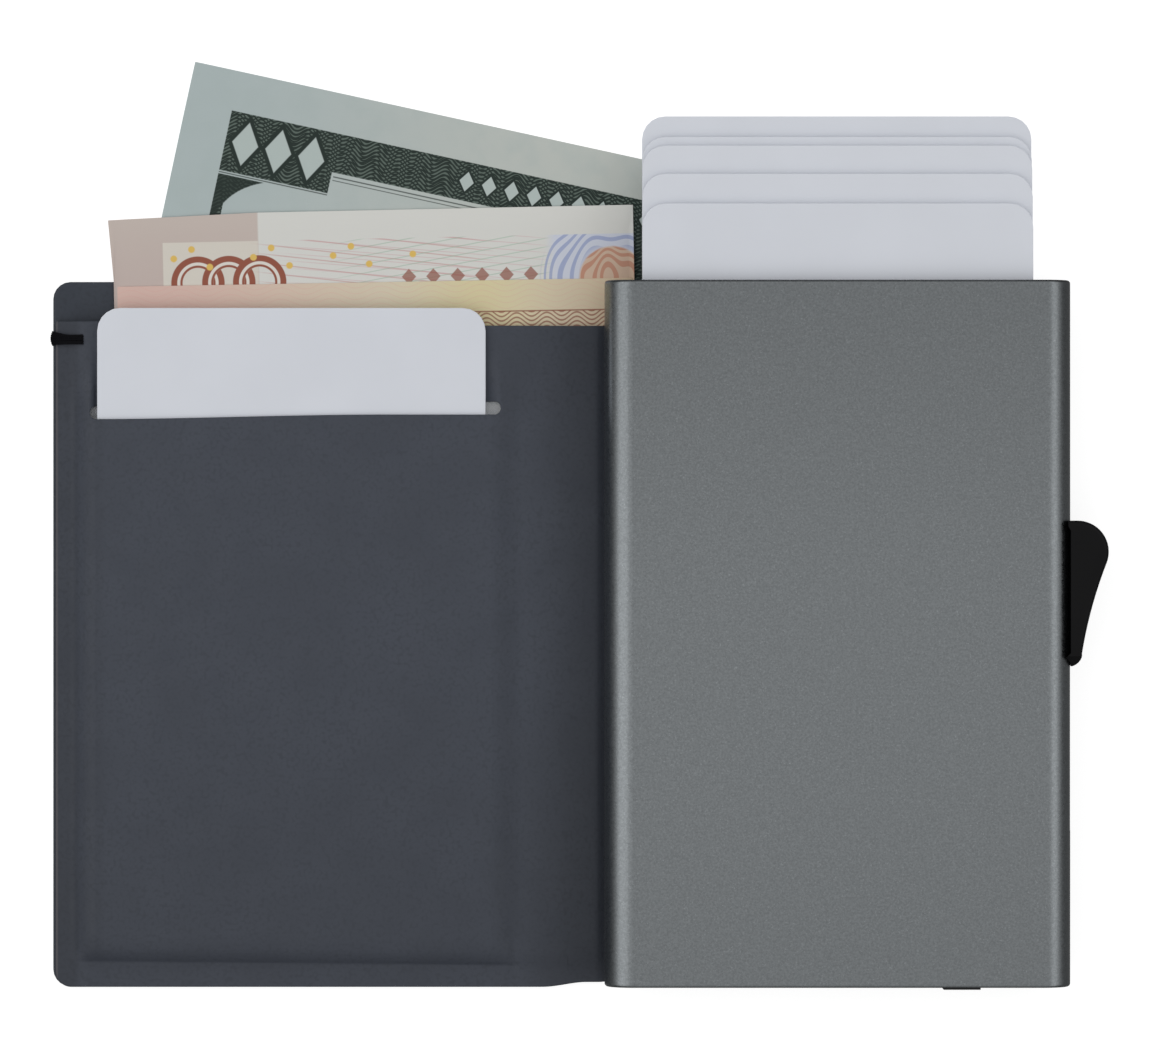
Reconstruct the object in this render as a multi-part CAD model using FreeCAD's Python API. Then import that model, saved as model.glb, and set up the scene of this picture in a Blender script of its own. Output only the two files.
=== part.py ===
"""Slim wallet, lying open on its back: an aluminium card case with a thumb slider, glued to a folding
leather cover whose free leaf holds folded banknotes and one card in a slot.

+X runs from the free leaf to the case, +Y towards the mouth of the case, +Z up from the table.
The wallet is drawn with X = 0 on the middle of the spine, Y = 0 on the cover's lower edge and Z = 0 on
the table, and every piece is then moved so that the origin is the middle of the whole object's footprint.
The case is drawn with its slider pushed up and its five cards fanned out of the mouth.
"""

import FreeCAD, Part

import math
import os

V = FreeCAD.Vector
UP = V(0, 0, 1)

# Cards: the bank-card size that every other size follows.
CARD_W = 53.98
CARD_L = 85.60
CARD_T = 0.76
CARD_R = 3.18

# Leather cover: free leaf, spine and the leaf under the case, joined at two creases.
SPINE_W = 9.2
LEAF_W = 67.15
BACK_W = 64.2
COVER_L = 98.15
COVER_T = 1.1
CORNER_R = 2.4
CREASE_GAP = 0.2
CREASE_Z = 3.3

# Inner panel and its seams. Banknotes lie between it and the cover, so it is open along its top edge.
PANEL_T = 0.5
PANEL_Z = 2.25
PANEL_L = 92.65
SEAM_W = 2.4
SIDE_SEAM_W = 3.6
NOTE_T = 0.25
NOTE_GAP = 0.05

# Card pocket in the free leaf: a slot with punched ends, and a panel raised over the card below it.
SLOT_LIP_Y = 79.35
SLOT_H = 1.8
SLOT_LEN = 56.3
POCKET_X = -38.45
POCKET_Y0 = 4.0
POCKET_W = CARD_W + 1.0
POCKET_CLEAR = 0.08
BACKING_T = 0.15
BACKING_GAP = 0.02
BACKING_SIDE = 1.2
BACKING_ABOVE = 3.6
BACKING_BELOW = 0.6
SLOT_CARD_TOP = 94.45

# Aluminium case: an extruded tube with rounded sides.
CASE_W = 64.4
CASE_L = 97.6
CASE_T = 8.4
CASE_R = 3.85
WALL = 1.1
END_ROUND = 0.45
CASE_X0 = SPINE_W / 2 + 0.45
CASE_Y0 = 0.5
PAD_T = 0.2
PAD_IN = 4.0

# Cards in the case, from the front one (nearest the viewer) to the back one: how far each stands out.
CARD_OUT = (10.6, 14.75, 18.7, 19.95, 22.85)
CARD_PITCH = 0.96
CARD_IN_DEPTH = 1.75

# Thumb slider and the fan rocker that it lifts.
SLIDE_TRAVEL = 25.0
ROCKER_SWING = math.radians(28)
ROCKER_HALF = 2.2
NOSE_CLEAR = 0.45
HUB_R = 2.7
HUB_IN = 4.1
PIN_R = 1.25
CAP_T = 1.5
SHELF_T = 1.4
SHELF_DROP = 3.5
PEG_R = 0.7
PEG_L = 2.0

# Clearances: a sliding fit, an inner piece beside the tube's wall, and the cards' play between the rails.
FIT = 0.1
WALL_GAP = 0.05
CARD_PLAY = 0.3

# Worked out from the sizes above.
CREASE_X = SPINE_W / 2
LEAF_X0 = -CREASE_X - LEAF_W
BACK_X1 = CREASE_X + BACK_W
PANEL_TOP = PANEL_Z + PANEL_T
CASE_Z0 = PANEL_TOP + PAD_T
CASE_Z1 = CASE_Z0 + CASE_T
CASE_ZM = CASE_Z0 + CASE_T / 2
CASE_X1 = CASE_X0 + CASE_W
CASE_XM = CASE_X0 + CASE_W / 2
CASE_Y1 = CASE_Y0 + CASE_L
IN_X0 = CASE_X0 + WALL
IN_X1 = CASE_X1 - WALL
IN_Z0 = CASE_Z0 + WALL
IN_Z1 = CASE_Z1 - WALL
STACK_T = CARD_PITCH * len(CARD_OUT)
STACK_Z0 = (IN_Z0 + IN_Z1 - STACK_T) / 2 - 0.2
SLOT_CARD_Z = PANEL_TOP + POCKET_CLEAR
BUMP_IN = SLOT_CARD_Z + CARD_T + POCKET_CLEAR
BUMP_TOP = BUMP_IN + PANEL_T
CARD_IN_Y = CASE_Y1 - CARD_IN_DEPTH - CARD_L
PIVOT_X = IN_X0 + HUB_IN
PIVOT_Y = CARD_IN_Y - NOSE_CLEAR - ROCKER_HALF
CARD_LIFT = tuple(out + CARD_IN_DEPTH for out in CARD_OUT)
NOSE_RADII = tuple(lift / math.sin(ROCKER_SWING) for lift in CARD_LIFT)


def box(x0, x1, y0, y1, z0, z1):
    """Block between two corners."""
    return Part.makeBox(x1 - x0, y1 - y0, z1 - z0, V(x0, y0, z0))


def outline(points, z=0.0):
    """Closed flat face from points; a point given as (middle, end) is the rest of a three-point arc."""
    edges = []
    here = V(*points[0], z)
    for item in points[1:] + [points[0]]:
        if isinstance(item[0], tuple):
            middle, end = V(*item[0], z), V(*item[1], z)
            edges.append(Part.Arc(here, middle, end).toShape())
        else:
            end = V(*item, z)
            if end.distanceToPoint(here) < 1e-6:
                continue
            edges.append(Part.LineSegment(here, end).toShape())
        here = end
    return Part.Face(Part.Wire(edges))


def plate(x0, x1, y0, y1, z0, z1, radii=(0, 0, 0, 0)):
    """Flat plate whose corners are rounded: lower left, lower right, upper right, upper left."""
    k = 1 - math.sqrt(0.5)
    corners = []
    for (x, y), (sx, sy), r in zip(
        ((x0, y0), (x1, y0), (x1, y1), (x0, y1)), ((1, 1), (-1, 1), (-1, -1), (1, -1)), radii
    ):
        if r == 0:
            corners.append((x, y))
            continue
        ends = [(x, y + sy * r), (x + sx * r, y)]
        if sx * sy < 0:
            ends.reverse()
        corners.append(ends[0])
        corners.append(((x + sx * k * r, y + sy * k * r), ends[1]))
    return outline(corners, z0).extrude(V(0, 0, z1 - z0))


def tube_bar(grow, y0, y1):
    """Solid bar with the case's outer section, grown by a margin, between two heights along the case."""
    radii = (CASE_R + grow,) * 4
    bar = plate(CASE_X0 - grow, CASE_X1 + grow, CASE_Z0 - grow, CASE_Z1 + grow, 0, y1 - y0, radii)
    bar.rotate(V(0, 0, 0), V(1, 0, 0), 90)
    bar.translate(V(0, y1, 0))
    return bar


def cylinder(x, y, z0, z1, r):
    return Part.makeCylinder(r, z1 - z0, V(x, y, z0), UP)


# ---- leather cover ----


def cover_leaf():
    leaf = plate(LEAF_X0, -CREASE_X - CREASE_GAP, 0, COVER_L, 0, COVER_T, (CORNER_R, 0, 0, CORNER_R))
    return leaf.cut(bar_tack_room())


def cover_spine():
    return box(-CREASE_X + CREASE_GAP, CREASE_X - CREASE_GAP, 0, COVER_L, 0, COVER_T)


def cover_back():
    return plate(CREASE_X + CREASE_GAP, BACK_X1, 0, COVER_L, 0, COVER_T, (0, CORNER_R, CORNER_R, 0))


def lining(x0, x1, radii):
    """Stretch of the inner panel with the seam along its lower edge, which reaches down to the cover."""
    sheet = plate(x0, x1, 0, PANEL_L, PANEL_Z, PANEL_TOP, radii)
    seam = plate(x0, x1, 0, PANEL_L, COVER_T, PANEL_TOP, radii)
    seam = seam.common(box(x0, x1, 0, SEAM_W, COVER_T, PANEL_TOP))
    return sheet.fuse(seam).removeSplitter()


def lining_spine():
    return lining(-CREASE_X + CREASE_GAP, CREASE_X - CREASE_GAP, (0, 0, 0, 0))


def lining_back():
    sheet = lining(CREASE_X + CREASE_GAP, BACK_X1, (0, CORNER_R, 0, 0))
    seam = plate(BACK_X1 - SIDE_SEAM_W, BACK_X1, 0, PANEL_L, COVER_T, PANEL_TOP, (0, CORNER_R, 0, 0))
    return sheet.fuse(seam).removeSplitter()


def slot_cut():
    """Punched slot with round ends, through the flat panel above the raised pocket."""
    r = SLOT_H / 2
    x0 = POCKET_X - SLOT_LEN / 2
    return plate(x0, x0 + SLOT_LEN, SLOT_LIP_Y, SLOT_LIP_Y + SLOT_H, 0, BUMP_TOP + 1, (r * 0.999,) * 4)


def pocket_panel():
    """Inner panel of the free leaf: note compartment behind it, raised card pocket with its slot."""
    panel = lining(LEAF_X0, -CREASE_X - CREASE_GAP, (CORNER_R, 0, 0, 0))
    panel = panel.fuse(plate(LEAF_X0, LEAF_X0 + SEAM_W, 0, PANEL_L, COVER_T, PANEL_TOP, (CORNER_R, 0, 0, 0)))
    half = POCKET_W / 2
    hood = box(
        POCKET_X - half - PANEL_T, POCKET_X + half + PANEL_T,
        POCKET_Y0 - PANEL_T, SLOT_LIP_Y, PANEL_Z, BUMP_TOP,
    )
    top = [e for e in hood.Edges if e.BoundBox.ZMin > BUMP_TOP - 1e-6]
    hood = hood.makeFillet(0.9 * PANEL_T, [e for e in top if e.BoundBox.YMin < SLOT_LIP_Y - 1e-6])
    room = box(POCKET_X - half, POCKET_X + half, POCKET_Y0, SLOT_LIP_Y, PANEL_Z - 1, BUMP_IN)
    panel = panel.fuse(hood).cut(room).cut(slot_cut()).cut(bar_tack_room())
    return panel.removeSplitter()


def card_pocket_backing():
    """Thin cloth under the panel that keeps the card out of the note compartment."""
    half = POCKET_W / 2 + BACKING_SIDE
    y0, y1 = POCKET_Y0 - BACKING_BELOW, SLOT_LIP_Y + BACKING_ABOVE
    z1 = PANEL_Z - BACKING_GAP
    return box(POCKET_X - half, POCKET_X + half, y0, y1, z1 - BACKING_T, z1)


TACK_Y = 90.1
TACK_W = 1.3
TACK_T = 0.3
TACK_IN = 4.3
TACK_Z0 = 0.03
TACK_CLEAR = 0.02


def bar_tack_ring(grow=0.0):
    """Thread that wraps the leaf's edge at the mouth of the note compartment."""
    x0, x1 = LEAF_X0 - TACK_T, LEAF_X0 + TACK_IN
    y0, y1 = TACK_Y - TACK_W / 2 - grow, TACK_Y + TACK_W / 2 + grow
    outer = box(x0 - grow, x1 + grow, y0, y1, TACK_Z0 - grow, PANEL_TOP + TACK_T)
    inner = box(LEAF_X0 + grow, x1 - TACK_T - grow, y0 - 1, y1 + 1, TACK_Z0 + TACK_T + grow, PANEL_TOP - grow)
    return outer.cut(inner)


def bar_tack_room():
    return bar_tack_ring(TACK_CLEAR)


def corner_bar_tack():
    return bar_tack_ring()


# ---- banknotes, each folded once and standing out of the note compartment ----


def banknote(level, left, top, width, height, turn_deg):
    """Folded note whose upper left corner is given, turned about that corner."""
    z = COVER_T + NOTE_GAP + level * (NOTE_T + NOTE_GAP)
    note = Part.makeBox(width, height, NOTE_T, V(left, top - height, z))
    note.rotate(V(left, top, z), UP, turn_deg)
    return note


NOTES = {
    "banknote_green": (0, -51.95, 128.7, 78.0, 66.3, -12.2),
    "banknote_pale": (1, -64.05, 107.3, 73.05, 75.0, 1.2),
    "banknote_amber": (2, -62.75, 96.75, 71.2, 72.0, 1.55),
}


# ---- cards ----


def card(centre_x, bottom_y, z):
    x0 = centre_x - CARD_W / 2
    return plate(x0, x0 + CARD_W, bottom_y, bottom_y + CARD_L, z, z + CARD_T, (CARD_R,) * 4)


def slot_card():
    return card(POCKET_X, SLOT_CARD_TOP - CARD_L, SLOT_CARD_Z)


def layer_z(index):
    """Lower side of the layer that holds card number index, counted from the front."""
    return STACK_Z0 + (len(CARD_OUT) - 1 - index) * CARD_PITCH


def case_card(index):
    return card(CASE_XM, CASE_Y1 + CARD_OUT[index] - CARD_L, layer_z(index) + (CARD_PITCH - CARD_T) / 2)


# ---- aluminium case ----

NECK_Y0 = 47.3
NECK_Y1 = 61.8
NECK_HALF = 0.95
NECK_PLAY = 0.15
SLOT_END_GAP = 0.6
LUG_XS = (CASE_X0 + 16.0, CASE_X1 - 16.0)
LUG_W = 6.0
LUG_Y0 = CASE_Y0 + CAP_T + 1.0
LUG_L = 1.6
LUG_SUNK = 0.3
TAB_X = CASE_X1 - 17.65
TAB_W = 5.1
TAB_OUT = 0.3
TAB_Z0 = IN_Z0 + 1.2
TAB_Z1 = CASE_Z1 - 0.9
PLUG_GAP = 0.03
ARM_T = 0.35
CHEEK_RIM = 1.2


def case_tube():
    """Extrusion with rounded ends, a slot in its side for the slider and two windows for the cap's lugs."""
    outer = tube_bar(0, CASE_Y0, CASE_Y1)
    ends = [e for e in outer.Edges if e.BoundBox.YLength < 1e-6]
    outer = outer.makeFillet(END_ROUND, ends)
    tube = outer.cut(tube_bar(-WALL, CASE_Y0 - 1, CASE_Y1 + 1))
    slot = box(
        CASE_X1 - 2 * WALL, CASE_X1 + 1, NECK_Y0 - SLIDE_TRAVEL - SLOT_END_GAP, NECK_Y1 + SLOT_END_GAP,
        CASE_ZM - NECK_HALF - NECK_PLAY, CASE_ZM + NECK_HALF + NECK_PLAY,
    )
    ends = [e for e in slot.Edges if e.BoundBox.XLength > 1]
    tube = tube.cut(slot.makeFillet(0.9, ends))
    for x in LUG_XS:
        y0, y1 = LUG_Y0 - FIT, LUG_Y0 + LUG_L + FIT
        window = box(x - LUG_W / 2 - FIT, x + LUG_W / 2 + FIT, y0, y1, CASE_Z0 - 1, IN_Z0 + 0.5)
        tube = tube.cut(window)
    return tube


def bottom_cap():
    """Plug in the lower end of the case, with cheeks that hold the rocker's pin, snap lugs and a pull tab."""
    inside = tube_bar(-WALL - PLUG_GAP, CASE_Y0 - 1, CASE_Y1)
    cap = inside.common(box(CASE_X0, CASE_X1, CASE_Y0 + WALL_GAP, CASE_Y0 + CAP_T, CASE_Z0, CASE_Z1))
    # The tab hooks round the end of the tube's front wall without touching it.
    tab = box(TAB_X, TAB_X + TAB_W, CASE_Y0 - TAB_OUT, CASE_Y0 + 0.5, TAB_Z0, TAB_Z1)
    cap = cap.fuse(tab.cut(tube_bar(0, CASE_Y0 - 0.02, CASE_Y1).cut(inside)))
    for z0, z1 in ((IN_Z0 + WALL_GAP, STACK_Z0 - FIT), (STACK_Z0 + STACK_T + FIT, IN_Z1 - WALL_GAP)):
        cheek = box(IN_X0, PIVOT_X + HUB_R + CHEEK_RIM, CASE_Y0 + 0.5, PIVOT_Y + HUB_R, z0, z1).common(inside)
        cap = cap.fuse(cheek.cut(cylinder(PIVOT_X, PIVOT_Y, z0 - 1, z1 + 1, PIN_R + 0.02)))
    for x in LUG_XS:
        z1 = IN_Z0 + WALL_GAP + ARM_T
        arm = box(x - LUG_W / 2, x + LUG_W / 2, CASE_Y0 + 0.5, LUG_Y0 + LUG_L, z1 - ARM_T, z1)
        lug = box(x - LUG_W / 2, x + LUG_W / 2, LUG_Y0, LUG_Y0 + LUG_L, CASE_Z0 + LUG_SUNK, z1)
        cap = cap.fuse(arm).fuse(lug)
    return cap.removeSplitter()


def rocker_pin():
    return cylinder(PIVOT_X, PIVOT_Y, IN_Z0 + WALL_GAP, IN_Z1 - WALL_GAP, PIN_R)


CHANNEL_X = CASE_XM + CARD_W / 2 + CARD_PLAY
CHANNEL_WEB = 0.4
RAIL_IN = 1.4
RAIL_Y1 = CASE_Y1 - RAIL_IN
SHELF_X0 = PIVOT_X + NOSE_RADII[-1] * math.cos(ROCKER_SWING)
SHELF_TOP = PIVOT_Y - SHELF_DROP + SLIDE_TRAVEL
SHELF_Z1 = STACK_Z0 + 3 * CARD_PITCH - FIT
CARRIAGE_Z0 = IN_Z0 + 1.0
CARRIAGE_Z1 = IN_Z1 - 1.0
CARRIAGE_X1 = IN_X1 - 0.2
FELT_HALF = 25.0
FELT_Y0 = CASE_Y1 - 5.0
FELT_Y1 = CASE_Y1 - 1.2


def left_rail():
    """Guide beside the cards' left edges. It stops above the rocker's hub."""
    rail = tube_bar(-WALL - PLUG_GAP, PIVOT_Y + HUB_R + CHEEK_RIM, RAIL_Y1)
    return rail.common(box(IN_X0, CASE_XM - CARD_W / 2 - CARD_PLAY, 0, CASE_Y1, IN_Z0, IN_Z1))


def right_rail():
    """Channel that guides the cards' right edges and carries the slider's carriage."""
    rail = tube_bar(-WALL - PLUG_GAP, CASE_Y0 + CAP_T + WALL_GAP, RAIL_Y1)
    rail = rail.common(box(CHANNEL_X, IN_X1, 0, CASE_Y1, IN_Z0, IN_Z1))
    rail = rail.cut(box(CHANNEL_X + CHANNEL_WEB, IN_X1 + 1, 0, CASE_Y1, CARRIAGE_Z0 - FIT, CARRIAGE_Z1 + FIT))
    way = box(CHANNEL_X - 1, CHANNEL_X + 1, 0, SHELF_TOP + 0.4, STACK_Z0 - FIT, SHELF_Z1 + FIT)
    return rail.cut(way)


def mouth_felt():
    """Two felt strips inside the mouth that hold the cards by friction."""
    x0, x1 = CASE_XM - FELT_HALF, CASE_XM + FELT_HALF
    back = box(x0, x1, FELT_Y0, FELT_Y1, IN_Z0, STACK_Z0)
    front = box(x0, x1, FELT_Y0, FELT_Y1, STACK_Z0 + STACK_T, IN_Z1)
    return Part.makeCompound([back, front])


def case_adhesive_pad():
    x0, x1, y0, y1 = CASE_X0 + PAD_IN, CASE_X1 - PAD_IN, CASE_Y0 + PAD_IN, PANEL_L - PAD_IN
    return plate(x0, x1, y0, y1, PANEL_TOP, CASE_Z0, (CORNER_R,) * 4)


# ---- slider ----


def slider_carriage():
    """Bar that runs in the right rail, with the shelf that lifts the rocker from below."""
    shelf_y0 = SHELF_TOP - SHELF_T
    bar = box(CHANNEL_X + CHANNEL_WEB + FIT, CARRIAGE_X1, shelf_y0, NECK_Y1 + 2, CARRIAGE_Z0, CARRIAGE_Z1)
    inside = tube_bar(-WALL - FIT, CASE_Y0, CASE_Y1)
    shelf = box(SHELF_X0, CHANNEL_X + 1 - FIT, shelf_y0, SHELF_TOP, STACK_Z0, SHELF_Z1)
    carriage = bar.common(inside).fuse(shelf)
    for y in peg_ys():
        carriage = carriage.cut(peg(y, 0.02, 0.1))
    return carriage.removeSplitter()


def peg_ys():
    return (NECK_Y0 + 3, NECK_Y1 - 3)


def peg(y, wider=0.0, deeper=0.0):
    """One of the two pegs that join lever and carriage, or with a margin its hole."""
    length = PEG_L + 2 * deeper
    return Part.makeCylinder(PEG_R + wider, length, V(IN_X1 - PEG_L - deeper, y, CASE_ZM), V(1, 0, 0))


# The lever's outline, measured from the middle of its round crest.
CREST = (CASE_X1 + 0.85, 60.6)
CREST_R = 4.3
CREST_TILT = math.radians(20)
SLOPE_MID = (2.35, -6.4)
SLOPE_END = (0.57, -14.3)
TOE_MID = (0.05, -15.45)
TOE_END = (-0.9, -15.9)
ROOT_X = -0.95
TOP_HOOK = (-1.3, 3.5)
TOE_HOOK = (-1.6, -14.6)
LEVER_HALF_T = 3.5
LEVER_RIM = 0.7
LEVER_GAP = 0.2
TOE_BEVEL = (1.5, 2.6)


def lever_face(z):
    """Outline of the thumb piece. Its two ends hook a little way over the case's rounded side."""
    x, y = CREST
    halfway = CREST_R * math.sqrt(0.5)
    leave = (x + CREST_R * math.cos(CREST_TILT), y - CREST_R * math.sin(CREST_TILT))

    def at(point):
        return x + point[0], y + point[1]

    return outline(
        [
            at((TOP_HOOK[0], CREST_R)), at((0, CREST_R)), (at((halfway, halfway)), leave),
            (at(SLOPE_MID), at(SLOPE_END)), (at(TOE_MID), at(TOE_END)),
            at((TOE_HOOK[0], TOE_END[1])), at(TOE_HOOK), at((ROOT_X, TOE_HOOK[1] + 0.6)),
            at((ROOT_X, TOP_HOOK[1] - 0.6)), at(TOP_HOOK),
        ],
        z,
    )


def toe_bevels():
    """Wedges that bevel the toe on both faces."""
    length, depth = TOE_BEVEL
    y = CREST[1] + TOE_END[1]
    wedges = []
    for side in (1, -1):
        z = CASE_ZM + side * LEVER_HALF_T
        edge = z - side * depth
        profile = ((y - 1, edge), (y, edge), (y + length, z), (y + length, z + side), (y - 1, z + side))
        corners = [V(CASE_X1 - 2, *point) for point in profile]
        face = Part.Face(Part.makePolygon(corners + corners[:1]))
        wedges.append(face.extrude(V(8, 0, 0)))
    return wedges


def lever():
    """Thumb piece: a rounded crest that tapers down the side of the case, with a neck and two pegs."""
    fin = lever_face(CASE_ZM - LEVER_HALF_T).extrude(V(0, 0, 2 * LEVER_HALF_T))
    flat = [e for e in fin.Edges if e.BoundBox.ZLength < 1e-6]
    rim = [e for e in flat if e.BoundBox.XMax > CREST[0] + SLOPE_END[0] + 0.1]
    fin = fin.makeFillet(LEVER_RIM, rim)
    fin = fin.cut(tube_bar(LEVER_GAP, 0, CASE_Y1))
    for wedge in toe_bevels():
        fin = fin.cut(wedge)
    neck = box(CARRIAGE_X1, CASE_X1 + 0.5, NECK_Y0, NECK_Y1, CASE_ZM - NECK_HALF, CASE_ZM + NECK_HALF)
    fin = fin.fuse(neck)
    for y in peg_ys():
        fin = fin.fuse(peg(y))
    return fin.removeSplitter()


def fan_rocker():
    """Stepped arm on the pin: one layer for each card, and the further back the card the longer the arm."""
    z_top = STACK_Z0 + STACK_T
    arm = cylinder(PIVOT_X, PIVOT_Y, STACK_Z0, z_top, HUB_R)
    for index, reach in enumerate(NOSE_RADII):
        z0 = layer_z(index)
        link = box(0, reach, -ROCKER_HALF, ROCKER_HALF, z0, z0 + CARD_PITCH)
        link = link.fuse(cylinder(reach, 0, z0, z0 + CARD_PITCH, ROCKER_HALF))
        link.rotate(V(0, 0, 0), UP, math.degrees(ROCKER_SWING))
        link.translate(V(PIVOT_X, PIVOT_Y, 0))
        arm = arm.fuse(link)
    arm = arm.cut(cylinder(PIVOT_X, PIVOT_Y, STACK_Z0 - 1, z_top + 1, PIN_R + 0.05))
    return arm.removeSplitter()


def pieces():
    """Every sub-part by name, still in drawing coordinates."""
    made = {
        "case_tube": case_tube(),
        "bottom_cap": bottom_cap(),
        "left_rail": left_rail(),
        "right_rail": right_rail(),
        "mouth_felt": mouth_felt(),
        "rocker_pin": rocker_pin(),
        "case_adhesive_pad": case_adhesive_pad(),
        "cover_back": cover_back(),
        "lining_back": lining_back(),
        "lever": lever(),
        "slider_carriage": slider_carriage(),
        "fan_rocker": fan_rocker(),
        "cover_spine": cover_spine(),
        "lining_spine": lining_spine(),
        "cover_leaf": cover_leaf(),
        "pocket_panel": pocket_panel(),
        "card_pocket_backing": card_pocket_backing(),
        "corner_bar_tack": corner_bar_tack(),
        "slot_card": slot_card(),
    }
    for index in range(len(CARD_OUT)):
        made[f"card_{index + 1}"] = case_card(index)
    for name, sizes in NOTES.items():
        made[name] = banknote(*sizes)
    return made


def origin_of(made):
    """Middle of the footprint of everything, on the table."""
    whole = FreeCAD.BoundBox()
    for shape in made.values():
        whole.add(shape.optimalBoundingBox(False))
    return V((whole.XMin + whole.XMax) / 2, (whole.YMin + whole.YMax) / 2, 0)


def main():
    os.makedirs("parts", exist_ok=True)
    made = pieces()
    origin = origin_of(made)
    for name, shape in made.items():
        shape.translate(-origin)
        for solid in shape.Solids:
            if not solid.isValid() or solid.Volume <= 0:
                print("not a good solid:", name)
        shape.exportStep(os.path.join("parts", name + ".step"))
        print(f"{name}: {len(shape.Solids)} solid(s), {sum(s.Volume for s in shape.Solids):.1f} mm3")
    print(f"origin in drawing coordinates: {origin.x:.3f}, {origin.y:.3f}")


if __name__ == "__main__":
    main()
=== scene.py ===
"""Looks of the open wallet: leather cover and panel, card case, cards, folded notes, thread, light and camera.

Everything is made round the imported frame. Lengths in this script are millimetres, and meshes are scaled to
metres when they are made.
"""

import math

import bmesh
import bpy
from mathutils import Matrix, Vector


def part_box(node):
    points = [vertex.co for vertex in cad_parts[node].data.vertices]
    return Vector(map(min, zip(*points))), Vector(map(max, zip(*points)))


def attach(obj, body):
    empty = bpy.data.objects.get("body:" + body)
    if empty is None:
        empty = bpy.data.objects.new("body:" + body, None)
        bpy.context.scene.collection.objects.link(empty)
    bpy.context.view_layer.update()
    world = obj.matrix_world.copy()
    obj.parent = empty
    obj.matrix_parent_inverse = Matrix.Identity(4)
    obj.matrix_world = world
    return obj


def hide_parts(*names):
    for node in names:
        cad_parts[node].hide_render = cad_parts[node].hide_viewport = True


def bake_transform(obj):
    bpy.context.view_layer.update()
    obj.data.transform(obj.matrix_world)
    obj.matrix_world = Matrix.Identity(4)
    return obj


MM = 0.001
REST = "rest_place"  # the attribute that keeps each vertex's place at rest
SAME = 1e-4  # vertices nearer than this are one
ON_CUT = 1e-3  # and a vertex nearer than this to a cut lies on it

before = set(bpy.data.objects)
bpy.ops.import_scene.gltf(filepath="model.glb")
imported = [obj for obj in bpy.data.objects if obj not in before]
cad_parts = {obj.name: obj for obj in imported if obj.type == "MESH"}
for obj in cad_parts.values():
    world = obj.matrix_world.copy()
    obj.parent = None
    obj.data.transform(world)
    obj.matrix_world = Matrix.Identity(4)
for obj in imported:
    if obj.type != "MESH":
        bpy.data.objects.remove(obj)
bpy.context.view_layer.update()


# ---- places taken from the frame ----


def box(node):
    """Lowest and highest corner of a CAD node, in millimetres."""
    low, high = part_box(node)
    return low / MM, high / MM


LEAF_LOW, LEAF_HIGH = box("cover_leaf")
SPINE_LOW, SPINE_HIGH = box("cover_spine")
BACK_LOW, BACK_HIGH = box("cover_back")
LINING_HIGH = box("lining_back")[1]
CASE_LOW, CASE_HIGH = box("case_tube")
SLOT_CARD_LOW, SLOT_CARD_HIGH = box("slot_card")
TACK_LOW, TACK_HIGH = box("corner_bar_tack")
BACKING_LOW, BACKING_HIGH = box("card_pocket_backing")

CREASE_LEFT = (LEAF_HIGH.x + SPINE_LOW.x) / 2
CREASE_RIGHT = (SPINE_HIGH.x + BACK_LOW.x) / 2
MIDDLE = (CREASE_LEFT + CREASE_RIGHT) / 2
LOWER = LEAF_LOW.y
COVER_TOP = LEAF_HIGH.z
PANEL_EDGE_Y = LINING_HIGH.y

# How far out from each crease, on the leaf's or the case's side, the columns stand close; they stay close up to
# the spine's middle.
BEND_OUT = 1.6


def clamp(t):
    return max(0.0, min(1.0, t))


def ease(t):
    """0 before 0, 1 after 1, and smooth between."""
    t = clamp(t)
    return t * t * (3 - 2 * t)


def swell(t):
    """Rises from 0 to 1 like ease, but steepest at its start."""
    return 1 - (1 - clamp(t)) ** 2


def hump(distance, half_width):
    """1 on the line and 0 from half_width away."""
    return 1 - ease(abs(distance) / half_width)


def stations(*marks):
    """Places from the first mark to the last. A mark is (place, largest step after it)."""
    found = []
    for (start, step), (end, _) in zip(marks, marks[1:]):
        count = max(1, math.ceil((end - start) / step - 1e-9))
        found += [start + (end - start) * k / count for k in range(count)]
    return found + [marks[-1][0]]


# ---- sheets: leather, paper and cards ----


def add_grid(bm, columns, rows_of, top):
    """Adds a sheet of faces to bm. rows_of(x) lists the y of every row at that column."""
    before = None
    for x in columns:
        column = [bm.verts.new((x, y, top(x, y))) for y in rows_of(x)]
        if before:
            for corner in zip(before, column, column[1:], before[1:]):
                bm.faces.new(corner)
        before = column


RIM_STEPS = 3


def round_rim(radius, thickness):
    """Profile of a rounded edge: how far out and how far down from the top, between the two faces."""
    turns = [math.pi / 2 * k / RIM_STEPS for k in range(1, RIM_STEPS + 1)]
    upper = [(radius * math.sin(a), radius * (1 - math.cos(a))) for a in turns]
    lower = [(out, thickness - down) for out, down in reversed(upper)]
    if lower[0][1] - upper[-1][1] < SAME:
        lower = lower[1:]
    return upper + lower


def at_cut(v, cut_x):
    """Whether a vertex lies where two pieces meet."""
    return cut_x is not None and abs(v.co.x - cut_x) < ON_CUT


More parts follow.
